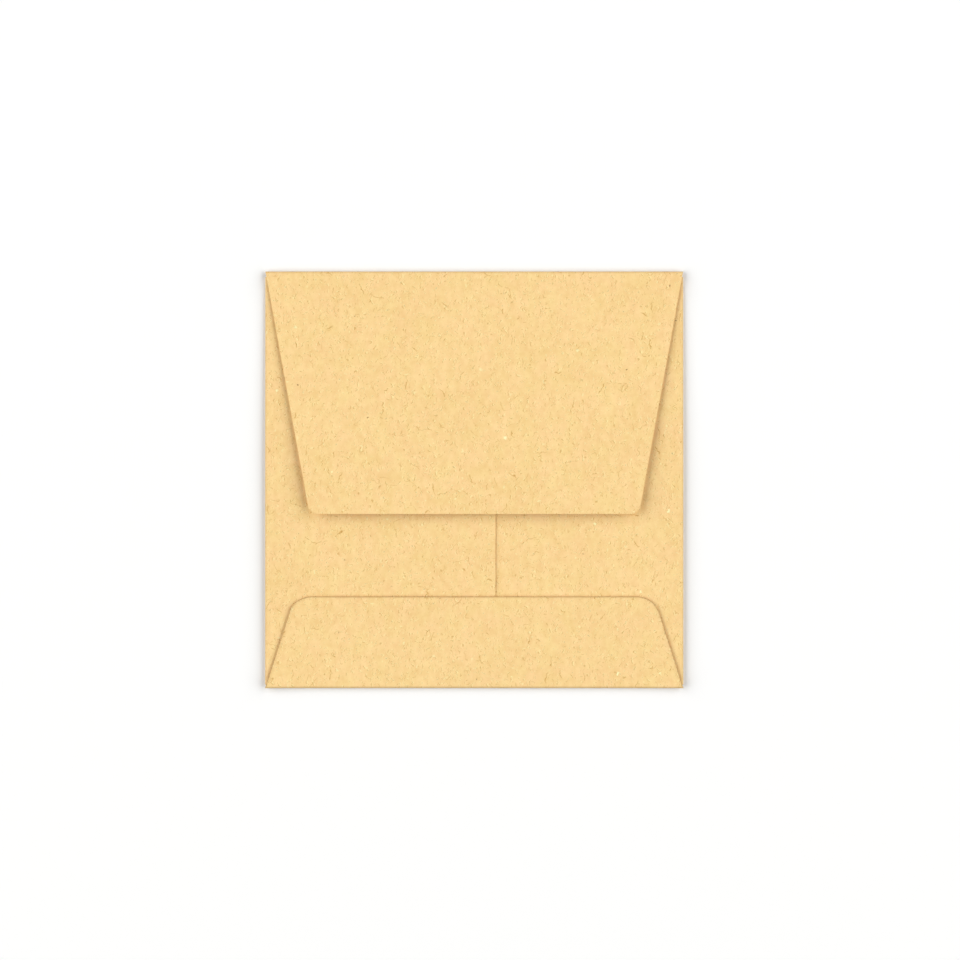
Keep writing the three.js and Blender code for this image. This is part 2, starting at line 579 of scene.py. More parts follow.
def flat_sheet(low_x, low_y, high_x, high_y, step):
    """A flat rectangle of the blank, with its outer face down."""
    bm = bmesh.new()
    columns = max(1, round((high_x - low_x) / step))
    rows = max(1, round((high_y - low_y) / step))
    bmesh.ops.create_grid(bm, x_segments=columns, y_segments=rows, size=0.5)
    bmesh.ops.scale(bm, vec=(high_x - low_x, high_y - low_y, 1), verts=bm.verts)
    middle = ((low_x + high_x) / 2, (low_y + high_y) / 2, 0)
    bmesh.ops.translate(bm, vec=middle, verts=bm.verts)
    bmesh.ops.reverse_faces(bm, faces=bm.faces)
    return bm


def round_corner(bm, centre, radius, first, second, turn, steps):
    """Rounds off a corner by straight cuts, which turn from one direction towards another."""
    for k in range(steps + 1):
        angle = turn * k / steps
        normal = first * cos(angle) + second * sin(angle)
        cut(bm, centre + normal * radius, normal, clear=True)


def fold_strip(radius, turn, steps):
    """Width of each flat strip of a round fold of that outer radius."""
    return 2 * radius * sin(turn / (2 * steps))


def mark_fold(bm, out, start, radius, turn, steps):
    """Cuts mesh lines across a sheet where it will bend, and one just before and after."""
    strip = fold_strip(radius, turn, steps)
    for k in range(-2, steps + 3):
        cut(bm, out * (start + k * strip), out)


def fold_over(bm, out, start, radius, turn, steps):
    """Folds what lies beyond a line of the blank up and over. The radius is the outer one."""
    blank = bm.verts.layers.float_vector["blank"]
    brown = bm.verts.layers.float["brown"]
    strip = fold_strip(radius, turn, steps)
    axis = out.cross(OUT_OF_TABLE)
    for v in bm.verts:
        # Browns the fold most at its outer edge: partly creased paper, partly painted shade of the curve
        share = (v[blank].dot(out) - start) / (steps * strip)
        v[brown] = FOLD_BROWN_AND_SHADE * sin(pi * min(1, max(0, share)))
    for k in range(steps, -1, -1):
        place = start + k * strip
        bend = turn / steps * (0.5 if k in (0, steps) else 1)
        beyond = [v for v in bm.verts if v[blank].dot(out) > place + TINY]
        matrix = Matrix.Rotation(bend, 3, axis)
        bmesh.ops.rotate(bm, verts=beyond, cent=out * place, matrix=matrix)


def ramp(x, start, end):
    """Rises smoothly from 0 at start to 1 at end."""
    share = min(1, max(0, (x - start) / (end - start)))
    return share * share * (3 - 2 * share)


def left_rise(sizes, x):
    """Share of the lap's step that the left panel has climbed."""
    foot = SEAM_X + sizes.lap_clearance
    return ramp(x, -foot - sizes.lap_run, -foot)


def lap_rise(sizes, x):
    """Share of the lap's step that a sheet over the whole seam has climbed."""
    foot = SEAM_X + sizes.lap_clearance
    return left_rise(sizes, x) * (1 - ramp(x, foot, foot + sizes.lap_run))


def top_outline(sizes):
    """Depth, taper, corner and corner turn of the top flap."""
    return sizes.flap_depth, sizes.flap_taper, sizes.flap_corner, sizes.flap_turn


def back_wave(sizes, x, y):
    """How far the back wall's sheets bulge at a point, which is nothing at its folds."""
    hold = ramp(HALF_WIDTH - abs(x), 0, BACK_HOLD) * ramp(y - BOTTOM_EDGE, 0, BACK_HOLD)
    place = Vector((x, y, 0)) / sizes.wave_length
    return hold * sizes.wave_height * (MEAN_BULGE + noise.noise(place + BACK_WAVE))


def flap_wave(sizes, x, y):
    """How far the top flap curls and bulges at a point. It is flat along its crease."""
    depth = TOP_EDGE - y
    curl = sizes.flap_curl * (depth / sizes.flap_depth) ** 2
    place = Vector((x, y, 0)) / sizes.wave_length
    bulge = sizes.wave_height * noise.noise(place + FLAP_WAVE)
    return curl + bulge * ramp(depth, 0, FLAP_HOLD)


def wander(sizes, place, seed):
    """How far a cut edge strays at a place along it."""
    slow = noise.noise(Vector((place / SLOW_STRAY, seed, 0)))
    quick = noise.noise(Vector((place / QUICK_STRAY, seed, 5)))
    return sizes.edge_wander * (slow + 0.5 * quick)


def keep_blank(bm):
    """Notes each point's place in the flat blank, and makes room for how brown it is, painted shade
    included.
    """
    bm.verts.layers.float.new("brown")
    blank = bm.verts.layers.float_vector.new("blank")
    for v in bm.verts:
        v[blank] = v.co
    return blank


def curl_edge(bm, free_edge, run, height, shaded_edge_run):
    """Curls a sheet up along points of its free edge, and browns a narrow strip there as painted shade along
    the edge.
    """
    brown = bm.verts.layers.float["brown"]
    tree = KDTree(len(free_edge))
    for k, v in enumerate(free_edge):
        tree.insert(v.co, k)
    tree.balance()
    for v in bm.verts:
        gap = tree.find(v.co)[2]
        v[brown] = max(v[brown], 1 - gap / shaded_edge_run)
        v.co.z += height * max(0, 1 - gap / run) ** 2


def area_in_blank(face, blank):
    """Twice a face's area in the blank: above 0 inside, below 0 outside and 0 on a cut edge."""
    places = [v[blank] for v in face.verts]
    return sum(a.x * b.y - a.y * b.x for a, b in zip(places, places[1:] + places[:1]))


def thicken(bm, blank, thickness):
    """Gives a sheet its thickness on the inner side, its pattern and its sharp cut edges."""
    bmesh.ops.solidify(bm, geom=bm.faces[:], thickness=thickness)
    pattern = bm.loops.layers.uv.new("blank")
    cut_edge = bm.faces.layers.float.new("cut_edge")
    for face in bm.faces:
        area = area_in_blank(face, blank)
        face.smooth = True
        face[cut_edge] = float(area == 0)
        for loop in face.loops:
            place = loop.vert[blank]
            loop[pattern].uv = (place.x, place.y + (INNER_PATTERN if area > 0 else 0))
    for edge in bm.edges:
        if len(edge.link_faces) == 2:
            first, second = edge.link_faces
            edge.smooth = first[cut_edge] == second[cut_edge]
            if first[cut_edge] and second[cut_edge]:
                edge.smooth = first.normal.angle(second.normal, 0) < SHARP


def bow_up(bm, sizes):
    """Bows the sides of a sheet up off the table, less so towards the crease of the top flap."""
    for v in bm.verts:
        near_side = min(1, abs(v.co.x) / HALF_WIDTH) ** BOW_POWER
        v.co.z += sizes.side_bow * near_side * ramp(TOP_EDGE - v.co.y, 0, BOW_RUN)


def make_piece(bm, sizes, name, material, nodes):
    """Turns a mesh into a named piece that stands for nodes of the frame."""
    bow_up(bm, sizes)
    mesh = bpy.data.meshes.new(name)
    bm.to_mesh(mesh)
    bm.free()
    mesh.materials.append(material)
    piece = bpy.data.objects.new(name, mesh)
    bpy.context.scene.collection.objects.link(piece)
    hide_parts(*nodes)
    return piece


# Materials


class Wiring:
    """Adds nodes to a tree and links them."""

    def __init__(self, tree):
        self.tree = tree

    def add(self, kind, inputs=None, **settings):
        """Adds a node. An input is a number, a colour or another node's output."""
        node = self.tree.nodes.new(kind)
        for name, value in settings.items():
            setattr(node, name, value)
        for name, value in (inputs or {}).items():
            if isinstance(value, bpy.types.NodeSocket):
                self.tree.links.new(value, node.inputs[name])
            else:
                node.inputs[name].default_value = value
        return node

    def link(self, output, node, name):
        """Links an output to a node's input of that name."""
        self.tree.links.new(output, node.inputs[name])

    def math(self, operation, *values):
        """The result of a Math node."""
        node = self.add("ShaderNodeMath", dict(enumerate(values)), operation=operation)
        return node.outputs[0]

    def mix(self, share, first, second):
        """One colour mixed into another by a share."""
        node = self.add("ShaderNodeMix", {"Factor": share}, data_type="RGBA", clamp_factor=True)
        for socket, value in ((node.inputs[6], first), (node.inputs[7], second)):
            if isinstance(value, bpy.types.NodeSocket):
                self.tree.links.new(value, socket)
            else:
                socket.default_value = (*value, 1)
        return node.outputs[2]

    def spread(self, value, low, high, start=0.0, end=1.0):
        """A value stretched so that low becomes start and high becomes end, and held there."""
        inputs = {"Value": value, "From Min": low, "From Max": high, "To Min": start, "To Max": end}
        return self.add("ShaderNodeMapRange", inputs, clamp=True).outputs["Result"]

    def noise(self, place, scale, detail=0.0, roughness=0.5):
        """Soft noise about 0.5."""
        inputs = {"Vector": place, "Scale": scale, "Detail": detail, "Roughness": roughness}
        node = self.add("ShaderNodeTexNoise", inputs, noise_dimensions="2D")
        return node.outputs[0]

    def scaled(self, place, factor):
        """A place taken that many times as far from the origin."""
        inputs = {0: place, "Scale": factor}
        return self.add("ShaderNodeVectorMath", inputs, operation="SCALE").outputs[0]

    def moved(self, place, x, y):
        """A place moved sideways, so that layers differ."""
        node = self.add("ShaderNodeVectorMath", {0: place, 1: (x, y, 0)}, operation="ADD")
        return node.outputs[0]

    def place_in_blank(self):
        """The place in the flat blank, in millimetres."""
        flat = self.add("ShaderNodeUVMap", uv_map="blank").outputs[0]
        return self.scaled(flat, float(MILLIMETRES))


def start_material(name):
    """A new material, its wiring and its Principled shader."""
    material = bpy.data.materials.new(name)
    material.use_nodes = True
    wiring = Wiring(material.node_tree)
    return material, wiring, wiring.tree.nodes["Principled BSDF"]


def fibre_group():
    """A node group that lays a short bent fibre in some cells of a random mesh. Lengths are in mm."""
    tree = bpy.data.node_groups.new("Paper fibres", "ShaderNodeTree")
    wiring = Wiring(tree)
    sockets = tree.interface
    sockets.new_socket("Place", in_out="INPUT", socket_type="NodeSocketVector")
    for name in ("Cell", "Half length", "Half width", "Bend", "Share"):
        sockets.new_socket(name, in_out="INPUT", socket_type="NodeSocketFloat")
    sockets.new_socket("Mask", in_out="OUTPUT", socket_type="NodeSocketFloat")
    given = wiring.add("NodeGroupInput").outputs
    math = wiring.math

    # One random point in each cell, and the way to it
    in_cells = wiring.scaled(given["Place"], math("DIVIDE", 1.0, given["Cell"]))
    cells = wiring.add(
        "ShaderNodeTexVoronoi",
        {"Vector": in_cells, "Scale": 1.0},
        voronoi_dimensions="2D",
    )
    away = wiring.add(
        "ShaderNodeVectorMath",
        {0: in_cells, 1: cells.outputs["Position"]},
        operation="SUBTRACT",
    ).outputs[0]
    away = wiring.scaled(away, given["Cell"])
    chance = wiring.add("ShaderNodeSeparateColor", {"Color": cells.outputs["Color"]}).outputs

    # Most fibres lie along the run of the paper, which is up the page
    lean = math("MULTIPLY_ADD", chance["Blue"], 2.0, -1.0)
    most_upright = math("MULTIPLY", lean, math("ABSOLUTE", lean))
    angle = math("MULTIPLY", most_upright, pi / 2)
    turned = wiring.add(
        "ShaderNodeVectorRotate",
        {"Vector": away, "Angle": angle},
        rotation_type="Z_AXIS",
    ).outputs[0]
    turned = wiring.add("ShaderNodeSeparateXYZ", {0: turned}).outputs
    bend = math("MULTIPLY", math("MULTIPLY_ADD", chance["Red"], 2.0, -1.0), given["Bend"])
    along = turned["Y"]
    swerve = math("MULTIPLY", bend, math("MULTIPLY", along, along))
    across = math("SUBTRACT", turned["X"], swerve)

    # How long, how frequent and how dark each one is
    length_share = math("FRACT", math("MULTIPLY", chance["Blue"], LENGTH_SHUFFLE))
    length_share = math("MULTIPLY_ADD", length_share, 0.65, 0.35)
    half_length = math("MULTIPLY", given["Half length"], length_share)
    in_length = math("DIVIDE", math("ABSOLUTE", along), half_length)
    in_length = wiring.spread(in_length, 1.0, 0.6)
    in_width = math("DIVIDE", math("ABSOLUTE", across), given["Half width"])
    in_width = wiring.spread(in_width, 1.0, 0.3)
    present = math("FRACT", math("MULTIPLY", chance["Green"], SHARE_SHUFFLE))
    present = math("LESS_THAN", present, given["Share"])
    depth = math("FRACT", math("MULTIPLY", chance["Red"], DEPTH_SHUFFLE))
    depth = math("MULTIPLY_ADD", depth, 0.7, 0.3)
    inside = math("MULTIPLY", in_length, in_width)
    mask = math("MULTIPLY", inside, math("MULTIPLY", present, depth))
    wiring.add("NodeGroupOutput", {"Mask": mask})
    return tree


def kraft_paper(colours):
    """Recycled kraft: buff pulp with cloudy patches, brown fibres, dark specks and pale flecks."""
    found = bpy.data.materials.get("kraft_paper_fibres")
    if found:
        return found
    material, wiring, shader = start_material("kraft_paper_fibres")
    math = wiring.math
    group = fibre_group()

    place = wiring.place_in_blank()
    stir = wiring.add(
        "ShaderNodeTexNoise",
        {"Vector": place, "Scale": 0.7, "Detail": 1.0},
        noise_dimensions="2D",
    ).outputs["Color"]
    stir = wiring.add("ShaderNodeVectorMath", {0: stir, 1: (0.5, 0.5, 0.5)}, operation="SUBTRACT")
    wavy = wiring.add(
        "ShaderNodeVectorMath",
        {0: stir.outputs[0], 1: (1.2, 1.2, 0), 2: place},
        operation="MULTIPLY_ADD",
    ).outputs[0]

    def fibres(x, y, cell, half_length, half_width, bend, share):
        """A layer of fibres, read from a place x and y further on. Lengths are in mm."""
        inputs = {
            "Place": wiring.moved(wavy, x, y),
            "Cell": cell,
            "Half length": half_length,
            "Half width": half_width,
            "Bend": bend,
            "Share": share,
        }
        return wiring.add("ShaderNodeGroup", inputs, node_tree=group).outputs[0]

    def painted(under, paint, *layers):
        """A colour with layers of fibres painted over it, each with a strength."""
        for mask, strength in layers:
            under = wiring.mix(math("MULTIPLY", mask, strength), under, tuple(paint))
        return under

    # Patches of another hue and browner patches, some drawn out along the run of the paper
    drawn_out = {"Vector": place, "Scale": (1.1, 0.9, 1.0)}
    drawn_out = wiring.add("ShaderNodeMapping", drawn_out).outputs[0]
    crowd = wiring.noise(wiring.moved(drawn_out, 40, 7), 0.25, 2.0)
    crowd = wiring.spread(crowd, 0.32, 0.68)
    cloud = wiring.noise(drawn_out, 0.45, 4.0, 0.65)
    broad = wiring.noise(wiring.moved(place, 90, 21), 0.05, 2.0)
    hue = wiring.noise(wiring.moved(drawn_out, 13, 57), 0.15, 3.0, 0.55)
    hue = wiring.spread(hue, 0.3, 0.7)
    colour = wiring.mix(hue, tuple(colours.kraft), tuple(colours.kraft_green))
    drift = wiring.noise(wiring.moved(place, 17, 71), 0.13, 2.0)
    tan_patch = math("MULTIPLY", wiring.spread(cloud, 0.65, 0.3), 0.19)
    tan_patch = math("MULTIPLY_ADD", wiring.spread(broad, 0.3, 0.7), 0.055, tan_patch)
    tan_patch = math("MULTIPLY_ADD", wiring.spread(drift, 0.3, 0.7), 0.06, tan_patch)
    colour = wiring.mix(tan_patch, colour, tuple(colours.tan))

    # Brown fibres, from short and dense to long and few, the first two with a painted highlight beside them,
    # the lit side of their relief
    dense = math("MULTIPLY_ADD", crowd, 0.8, 0.1)
    short = fibres(0, 0, 1.0, 0.4, 0.12, 1.4, dense)
    middle = fibres(31, 17, 1.6, 0.7, 0.14, 1.2, dense)
    curly = fibres(71, 29, 2.1, 0.85, 0.13, 1.8, dense)
    long = fibres(5, 83, 4.5, 2.2, 0.14, 0.2, 0.25)
    painted_highlight_short = fibres(0.24, 0.1, 1.0, 0.4, 0.12, 1.4, dense)
    painted_highlight_middle = fibres(30.74, 17.1, 1.6, 0.7, 0.14, 1.2, dense)
    # Painted highlight: pale copies of the short and middle fibres, moved a little to one side
    colour = painted(colour, colours.glint, (painted_highlight_short, 0.8), (painted_highlight_middle, 0.8))
    colour = painted(colour, colours.fibre, (short, 0.54), (middle, 0.58), (curly, 0.58), (long, 0.8))

    # Light dots, pale flecks, dark specks with a pale rim, and a few big flecks and dark spots
    glint = fibres(47, 12, 1.7, 0.3, 0.16, 0.5, 0.45)
    fleck = fibres(88, 44, 6.5, 0.7, 0.24, 0.6, 0.3)
    speck_rim = fibres(19, 61, 1.6, 0.36, 0.34, 0.0, 0.5)
    speck = fibres(19, 61, 1.6, 0.17, 0.14, 0.0, 0.5)
    spot = fibres(53, 3, 19.0, 0.38, 0.3, 0.0, 0.35)
    big_fleck = fibres(67, 95, 23.0, 0.7, 0.5, 0.3, 0.4)
    colour = painted(colour, colours.glint, (glint, 0.65), (speck_rim, 0.4))
    colour = painted(colour, colours.fleck, (fleck, 0.6), (big_fleck, 1.0))
    colour = painted(colour, colours.speck, (speck, 0.5), (spot, 1.0))

    # Folds and cut edges are browner, where the fibres have been compressed; along the folds and in the
    # bottom flap's edge strip the brown is also painted shade
    cut_edge = wiring.add("ShaderNodeAttribute", attribute_name="cut_edge").outputs["Fac"]
    brown = wiring.add("ShaderNodeAttribute", attribute_name="brown").outputs["Fac"]
    browned_and_shaded = math("MAXIMUM", math("MULTIPLY", cut_edge, CUT_BROWN), brown)
    colour = wiring.mix(browned_and_shaded, colour, tuple(colours.pressed_and_shaded))
    wiring.link(colour, shader, "Base Color")
    shader.inputs["Roughness"].default_value = 0.88
    shader.inputs["Specular IOR Level"].default_value = 0.2

    height = math("MULTIPLY_ADD", math("ADD", short, middle), -0.5, cloud)
    bump = wiring.add("ShaderNodeBump", {"Height": height, "Strength": 0.3, "Distance": 0.00002})
    wiring.link(bump.outputs[0], shader, "Normal")
    return material


def dried_film(name, colour, roughness, coat):
    """Dried glue or gum: an uneven film with bubbles and brush lines."""
    found = bpy.data.materials.get(name)
    if found:
        return found
    material, wiring, shader = start_material(name)
    math = wiring.math
    place = wiring.place_in_blank()
    brushed = {"Vector": place, "Scale": (0.15, 1.2, 1.0)}
    brushed = wiring.add("ShaderNodeMapping", brushed).outputs[0]
    streak = wiring.noise(brushed, 1.0, 3.0)
    blotch = wiring.noise(place, 0.3, 2.0)
    bubbles = wiring.add(
        "ShaderNodeTexVoronoi",
        {"Vector": place, "Scale": 1.4},
        voronoi_dimensions="2D",
    ).outputs["Distance"]
    bubble = wiring.spread(bubbles, 0.16, 0.1)
    thin = tuple(c ** 0.75 for c in colour)
    deep = tuple(c ** 1.25 for c in colour)
    mixed = wiring.mix(math("MULTIPLY", math("ADD", streak, blotch), 0.5), thin, deep)
    mixed = wiring.mix(math("MULTIPLY", bubble, 0.4), mixed, thin)
    wiring.link(mixed, shader, "Base Color")
    rough = wiring.spread(blotch, 0.3, 0.7, roughness * 0.7, roughness * 1.3)
    wiring.link(rough, shader, "Roughness")
    shader.inputs["Coat Weight"].default_value = coat
    shader.inputs["Coat Roughness"].default_value = 0.15
    height = math("ADD", math("MULTIPLY", bubble, -1.0), streak)
    bump = wiring.add("ShaderNodeBump", {"Height": height, "Strength": 0.6, "Distance": 0.00003})
    wiring.link(bump.outputs[0], shader, "Normal")
    return material


def behind_everything(wiring, seen, lighting):
    """Mixes a shader that is seen, also in reflections and clear things, with one that lights."""
    rays = wiring.add("ShaderNodeLightPath").outputs
    looks = wiring.math("MAXIMUM", rays["Is Camera Ray"], rays["Is Glossy Ray"])
    looks = wiring.math("MAXIMUM", looks, rays["Is Transmission Ray"])
    return wiring.add("ShaderNodeMixShader", {0: looks, 1: lighting, 2: seen}).outputs[0]


def white_table(colours):
    """A pale table top that looks white to the camera and keeps its shadows."""
    material, wiring, shader = start_material("white_table")
    wiring.tree.nodes.remove(shader)
    place = wiring.add("ShaderNodeTexCoord").outputs["Object"]
    grain = wiring.noise(place, GRAIN_SCALE, 2.0)
    darker = tuple(c * GRAIN_SHADE for c in colours.table)
    shade = wiring.mix(grain, darker, tuple(colours.table))
    lit = wiring.add("ShaderNodeBsdfDiffuse", {"Color": shade}).outputs[0]
    seen = wiring.add("ShaderNodeBsdfDiffuse", {"Color": TABLE_SEEN}).outputs[0]
    both = behind_everything(wiring, seen, lit)
    wiring.link(both, wiring.tree.nodes["Material Output"], "Surface")
    return material


# Pieces


def front_wall(sizes, colours):
    """The front wall, which lies face down on the table."""
    bm = flat_sheet(-SIDE_X, BOTTOM.y, SIDE_X, CREASE.y, sizes.mesh_step * 2)
    blank = keep_blank(bm)
    thicken(bm, blank, PAPER)
    paper = kraft_paper(colours)
    piece = make_piece(bm, sizes, "front_wall_sheet", paper, ["front_panel"])
    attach(piece, "front_wall")


def side_sheet(sizes, colours, out, name, nodes, rise):
    """A side fold with its side panel. rise says how much of the lap's step it has climbed."""
    fold_end = SIDE_X + sizes.fold_steps * fold_strip(SIDE_RADIUS, pi, sizes.fold_steps)
    reach = fold_end + SIDE_X + SEAM_X - sizes.seam_inset
    low_x, high_x = sorted((out.x * SIDE_X, out.x * reach))
    bm = flat_sheet(low_x, BOTTOM.y, high_x, CREASE.y, sizes.mesh_step)
    mark_fold(bm, out, SIDE_X, SIDE_RADIUS, pi, sizes.fold_steps)
    fall = (reach - SIDE_X) * tan(sizes.throat_angle)
    throat_top = CREASE.y - sizes.throat_start
    throat_bottom = -BOTTOM.y - sizes.bottom_throat_start
    for up, edge in ((UP_PAGE, throat_top), (DOWN_PAGE, throat_bottom)):
        slope = up * cos(sizes.throat_angle) + out * sin(sizes.throat_angle)
        corner = out * reach + up * (edge - fall)
        turn = pi / 2 - sizes.throat_angle
        centre = corner - out * sizes.panel_corner - up * sizes.panel_corner * tan(turn / 2)
        cut(bm, corner, slope, clear=True)
        round_corner(bm, centre, sizes.panel_corner, out, up, turn, sizes.corner_steps)
    for k in range(1, LIP_STRIPS):
        cut(bm, out * (reach - sizes.lip_run * k / LIP_STRIPS), out)
    blank = keep_blank(bm)
    seed = LEFT_SEED if out == LEFT else RIGHT_SEED
    for v in bm.verts:
        near_edge = ramp(v.co.dot(out), reach - sizes.lip_run, reach)
        v.co += out * near_edge * wander(sizes, v.co.y, seed)
    fold_over(bm, out, SIDE_X, SIDE_RADIUS, pi, sizes.fold_steps)
    flap_edge = BOTTOM_EDGE + sizes.bottom_depth
    for v in bm.verts:
        along = v[blank].dot(out)
        if along > fold_end:
            v.co.z += LAP_STEP * rise(v.co.x) + back_wave(sizes, v.co.x, v.co.y)
        if out == LEFT:
            free = ramp(v.co.y, flap_edge, flap_edge + LIP_FADE)
            near_edge = max(0, 1 - (reach - along) / sizes.lip_run)
            v.co.z += free * sizes.lip_height * near_edge ** 2
    thicken(bm, blank, PAPER)
    piece = make_piece(bm, sizes, name, kraft_paper(colours), nodes)
    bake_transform(piece, "front_wall", "back_wall", out * SIDE_X, out * sizes.gape_reach)


def trim_flap(bm, sizes, out, root, depth, taper, corner, turn, margin, inset=0):
    """Cuts a flap's tapered outline. Its depth is measured from root, a place in the blank."""
    shift = margin / cos(taper) + inset
    tip = depth - margin
    kink = tip - corner * (1 - cos(turn))
    kink_x = HALF_WIDTH - kink * tan(taper) - shift
    flat_x = kink_x - corner * sin(turn)
    for side in (LEFT, RIGHT):
        normal = side * cos(taper) + out * sin(taper)
        cut(bm, side * kink_x + out * (root + kink), normal, clear=True)
        centre = side * flat_x + out * (root + tip - corner)
        round_corner(bm, centre, corner, out, side, turn, sizes.corner_steps)


def trim_root(bm, out, start, middle):
    """Narrows a flap's fold from its middle back to its start, at the corners of the front wall."""
    start_half_width = SIDE_X + FOLD_SPARE
    for side in (LEFT, RIGHT):
        along = (side * (HALF_WIDTH - start_half_width) + out * (middle - start)).normalized()
        normal = side * out.dot(along) - out * side.dot(along)
        cut(bm, side * start_half_width + out * start, normal, clear=True)


def flap_sheet(sizes, step, out, axis, turn, depth, taper, corner, corner_turn, inset=0, middle=None):
    """A flap and its fold, cut out flat. middle keeps only the half on that side."""
    steps = sizes.fold_steps
    start = axis.y * out.y
    radius = axis.z
    fold_end = start + steps * fold_strip(radius, turn, steps)
    root = fold_end - radius
    low_y, high_y = sorted((out.y * start, out.y * (root + depth)))
    bm = flat_sheet(-HALF_WIDTH, low_y, HALF_WIDTH, high_y, step)
    mark_fold(bm, out, start, radius, turn, steps)
    if middle is not None:
        cut(bm, Vector(), -middle, clear=True)
    trim_flap(bm, sizes, out, root, depth, taper, corner, corner_turn, 0, inset)
    trim_root(bm, out, start, (start + fold_end) / 2)
    return bm, start, fold_end


class ENVELOPE_OT_front_wall(bpy.types.Operator):
    """Build the front wall"""

    bl_idname = "envelope.front_wall"
    bl_label = "Front wall"

    def execute(self, context):
        front_wall(context.scene.envelope_sizes, context.scene.envelope_colours)
        return {"FINISHED"}


class ENVELOPE_OT_side_panels(bpy.types.Operator):
    """Build the two side folds with their side panels"""

    bl_idname = "envelope.side_panels"
    bl_label = "Side panels"

    def execute(self, context):
        sizes = context.scene.envelope_sizes
        colours = context.scene.envelope_colours
        for out, name, nodes, rise in (
            (RIGHT, "right_side_sheet", ["right_fold", "right_side_panel"], lambda x: 0),
            (LEFT, "left_side_sheet", ["left_fold", "left_side_panel"], lambda x: left_rise(sizes, x)),
        ):
            side_sheet(sizes, colours, out, name, nodes, rise)
        return {"FINISHED"}


class ENVELOPE_OT_bottom_flap(bpy.types.Operator):
    """Build the bottom flap with its fold, in two halves that bend with the mouth"""

    bl_idname = "envelope.bottom_flap"
    bl_label = "Bottom flap"

    def execute(self, context):
        sizes = context.scene.envelope_sizes
        colours = context.scene.envelope_colours
        full_turn = pi / 2 - sizes.bottom_taper
        for middle, name, corner, corner_turn in (
            (LEFT, "bottom_flap_left_half", sizes.bottom_corner, sizes.bottom_turn),
            (RIGHT, "bottom_flap_right_half", sizes.bottom_right_corner, full_turn),
        ):
            step = sizes.lip_run / LIP_STRIPS
            outline = (sizes.bottom_depth, sizes.bottom_taper, corner, corner_turn)
            sheet = flap_sheet(sizes, step, DOWN_PAGE, BOTTOM, pi, *outline, middle=middle)
            bm, start, fold_end = sheet
            # Mesh lines for the browner strip of painted shade along the flap's edge
            for k in range(1, SHADED_EDGE_CUTS + 1):
                line = -fold_end + BOTTOM.z - sizes.bottom_depth + k * sizes.shaded_edge_run / 2
                cut(bm, UP_PAGE * line, UP_PAGE)
            blank = keep_blank(bm)
            fold_over(bm, DOWN_PAGE, start, BOTTOM.z, pi, sizes.fold_steps)
            for v in bm.verts:
                if v[blank].dot(DOWN_PAGE) > fold_end:
                    hold = ramp(v.co.y - BOTTOM_EDGE, 0, BOTTOM_CLIMB)
                    climb = LAP_STEP * lap_rise(sizes, v.co.x) * hold
                    v.co.z += climb + back_wave(sizes, v.co.x, v.co.y)
            free_edge = [
                v
                for v in bm.verts
                if v.is_boundary and v[blank].dot(DOWN_PAGE) > fold_end and v.co.dot(middle) > TINY
            ]
            curl_edge(bm, free_edge, sizes.bottom_lip_run, sizes.bottom_lip_height, sizes.shaded_edge_run)
            thicken(bm, blank, PAPER)
            nodes = ["bottom_fold", "bottom_flap"]
            piece = make_piece(bm, sizes, name, kraft_paper(colours), nodes)
            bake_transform(piece, "front_wall", "back_wall", middle * SIDE_X, middle * sizes.gape_reach)
        return {"FINISHED"}


class ENVELOPE_OT_top_flap(bpy.types.Operator):
    """Build the top flap with its crease"""

    bl_idname = "envelope.top_flap"
    bl_label = "Top flap"

    def execute(self, context):
        sizes = context.scene.envelope_sizes
        colours = context.scene.envelope_colours
        turn = pi - FLAP_LIFT
        outline = top_outline(sizes)
        sheet = flap_sheet(sizes, sizes.mesh_step, UP_PAGE, CREASE, turn, *outline, sizes.flap_inset)
        bm, start, fold_end = sheet
        blank = keep_blank(bm)
        fold_over(bm, UP_PAGE, start, CREASE.z, turn, sizes.fold_steps)
        for v in bm.verts:
            if v[blank].dot(UP_PAGE) > fold_end:
                v.co.z += flap_wave(sizes, v.co.x, v.co.y)
        thicken(bm, blank, PAPER)
        nodes = ["top_fold", "top_flap"]
        piece = make_piece(bm, sizes, "top_flap_sheet", kraft_paper(colours), nodes)
        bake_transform(piece, "front_wall", "flap", (0, 0, PAPER), (0, 0, 2 * CREASE.z - PAPER))
        return {"FINISHED"}


